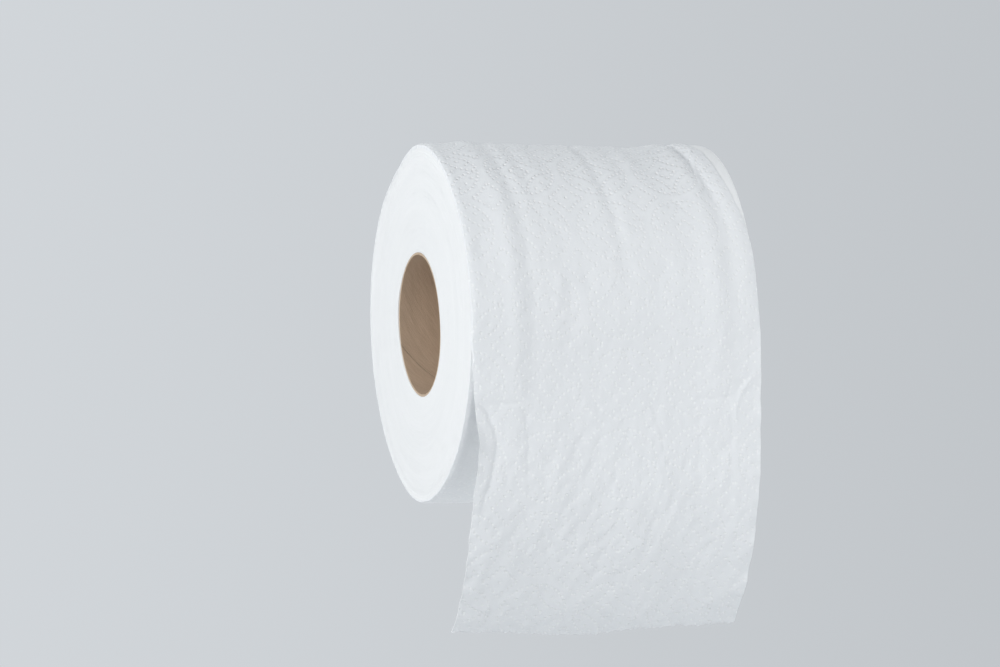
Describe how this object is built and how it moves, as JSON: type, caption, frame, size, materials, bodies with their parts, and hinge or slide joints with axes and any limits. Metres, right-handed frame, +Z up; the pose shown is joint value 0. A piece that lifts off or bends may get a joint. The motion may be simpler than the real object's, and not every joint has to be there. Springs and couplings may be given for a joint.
{
  "type": "toilet paper roll",
  "caption": "Partly used toilet paper roll wound on a board tube, hung by its bore, with the loose end of the web hanging and curling back at the front.",
  "frame": {"origin": "centre of the tube's bore, halfway along the roll", "axes": "+X along the bore, +Z up as the roll hangs, and the loose end hangs on the -Y side, which is the front"},
  "size_m": [0.094, 0.1139, 0.1503],
  "materials": {
    "board": "raw grey-brown board, spirally wound, with a glued seam",
    "tissue": "soft white tissue, embossed with fine dots, cut faces faintly ringed by the turns"
  },
  "bodies": {
    "root": {"core_tube": "board", "paper_web": "tissue"}
  },
  "joints": []
}
